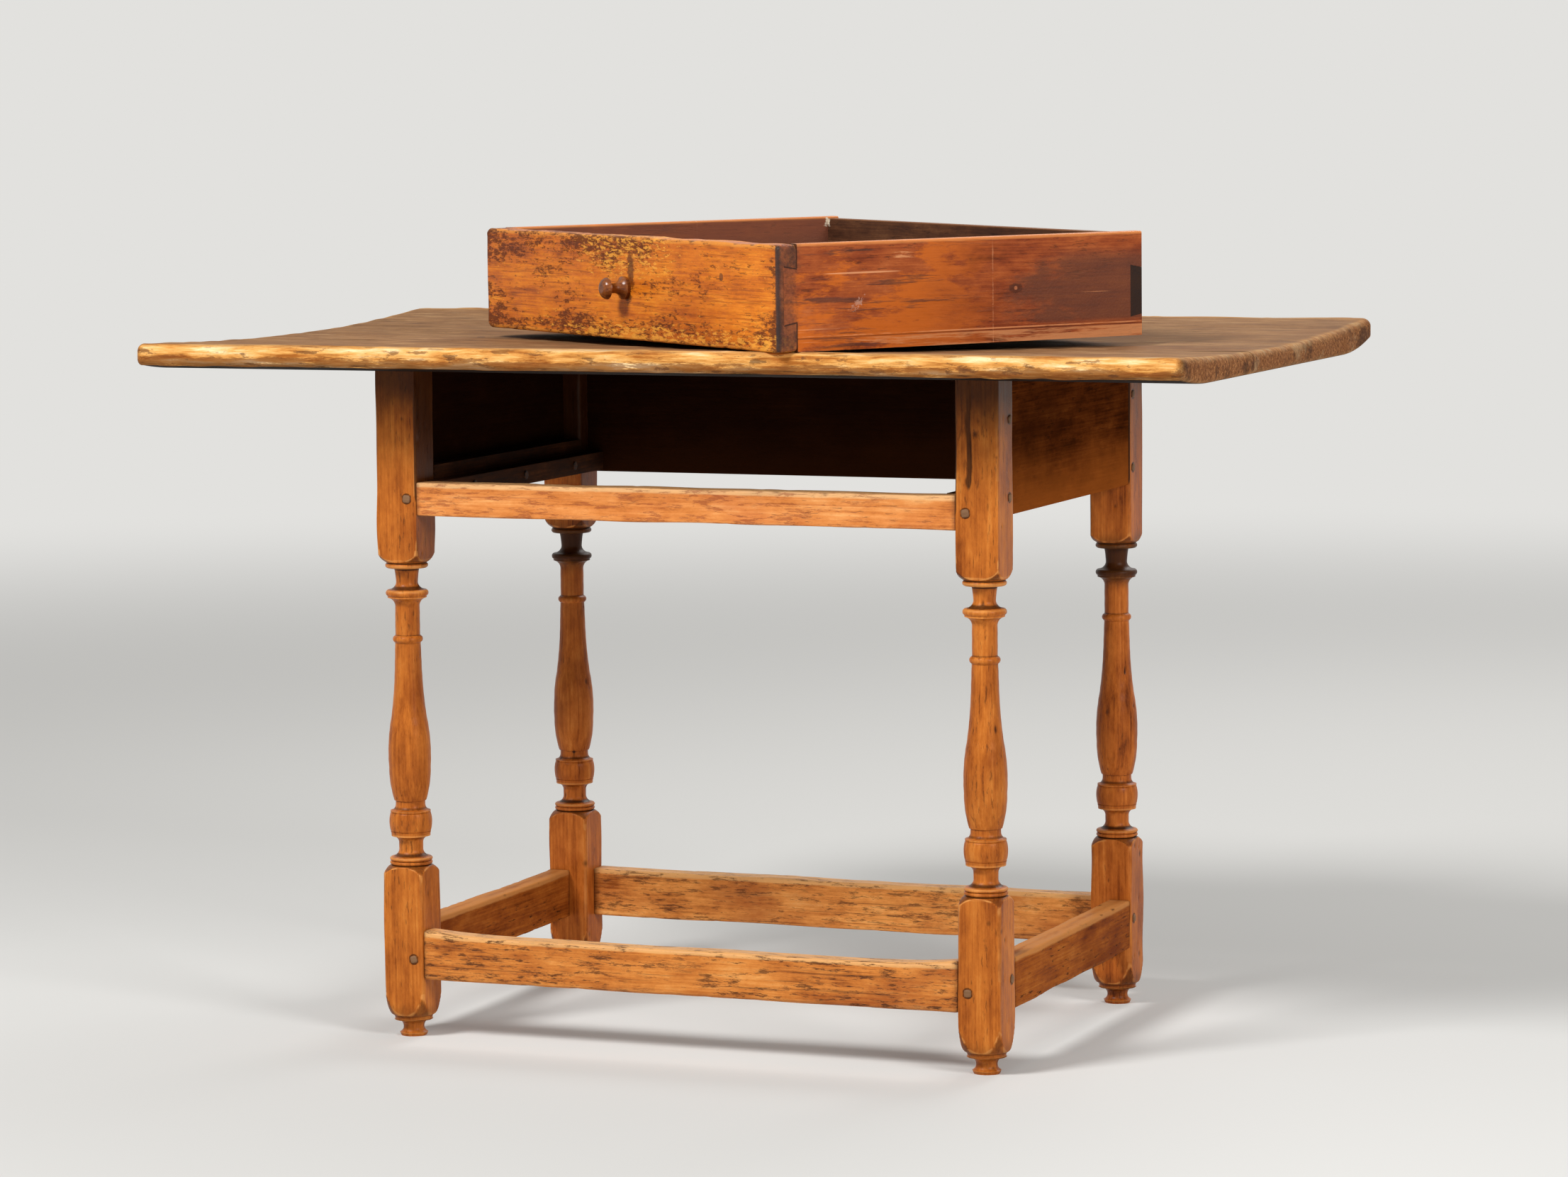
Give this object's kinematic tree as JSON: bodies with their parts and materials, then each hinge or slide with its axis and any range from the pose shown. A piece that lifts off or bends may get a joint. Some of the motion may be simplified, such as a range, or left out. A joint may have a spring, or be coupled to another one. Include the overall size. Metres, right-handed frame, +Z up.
{
  "type": "tavern table",
  "caption": "Wooden tavern table with turned legs, box stretcher, wide overhanging plank top and a dovetailed drawer that stands, taken out and turned, on the top.",
  "frame": {"origin": "floor level under the middle of the top", "axes": "+X to the right along the front, -Y to the front where the drawer opening is, +Z up"},
  "size_m": [1.056, 0.6558, 0.7843],
  "materials": {
    "top_pine": "weathered pine, grey-tan, worn edges",
    "frame_maple": "maple, old honey-orange varnish, semi-gloss",
    "inside_pine": "bare pine, dark with age",
    "drawer_sides": "red-brown stained wood, scratched",
    "drawer_front": "amber varnish, crackled and worn",
    "knob_walnut": "dark walnut, glossy",
    "pegs": "dark end grain",
    "iron": "rusted wrought iron"
  },
  "bodies": {
    "table": {"top_board_front": "top_pine", "top_board_rear": "top_pine", "front_left_leg": "frame_maple", "front_right_leg": "frame_maple", "back_left_leg": "frame_maple", "back_right_leg": "frame_maple", "drawer_rail": "frame_maple", "back_apron": "frame_maple", "left_apron": "frame_maple", "right_apron": "frame_maple", "front_stretcher": "frame_maple", "back_stretcher": "frame_maple", "left_stretcher": "frame_maple", "right_stretcher": "frame_maple", "left_runner": "inside_pine", "right_runner": "inside_pine", "left_guide": "inside_pine", "right_guide": "inside_pine", "drawer_rail_pegs": "pegs", "back_apron_pegs": "pegs", "side_apron_pegs": "pegs", "stretcher_pegs": "pegs", "top_pins": "pegs", "runner_nails": "iron"},
    "drawer": {"drawer_front": "drawer_front", "drawer_left_side": "drawer_sides", "drawer_right_side": "drawer_sides", "drawer_back": "inside_pine", "drawer_bottom": "inside_pine", "drawer_bottom_nails": "iron", "drawer_knob": "knob_walnut"}
  },
  "joints": [
    {"name": "drawer_lift", "type": "slide", "parent": "table", "child": "drawer", "axis": [0, 0, 1], "range_m": [0, 0.25]}
  ]
}
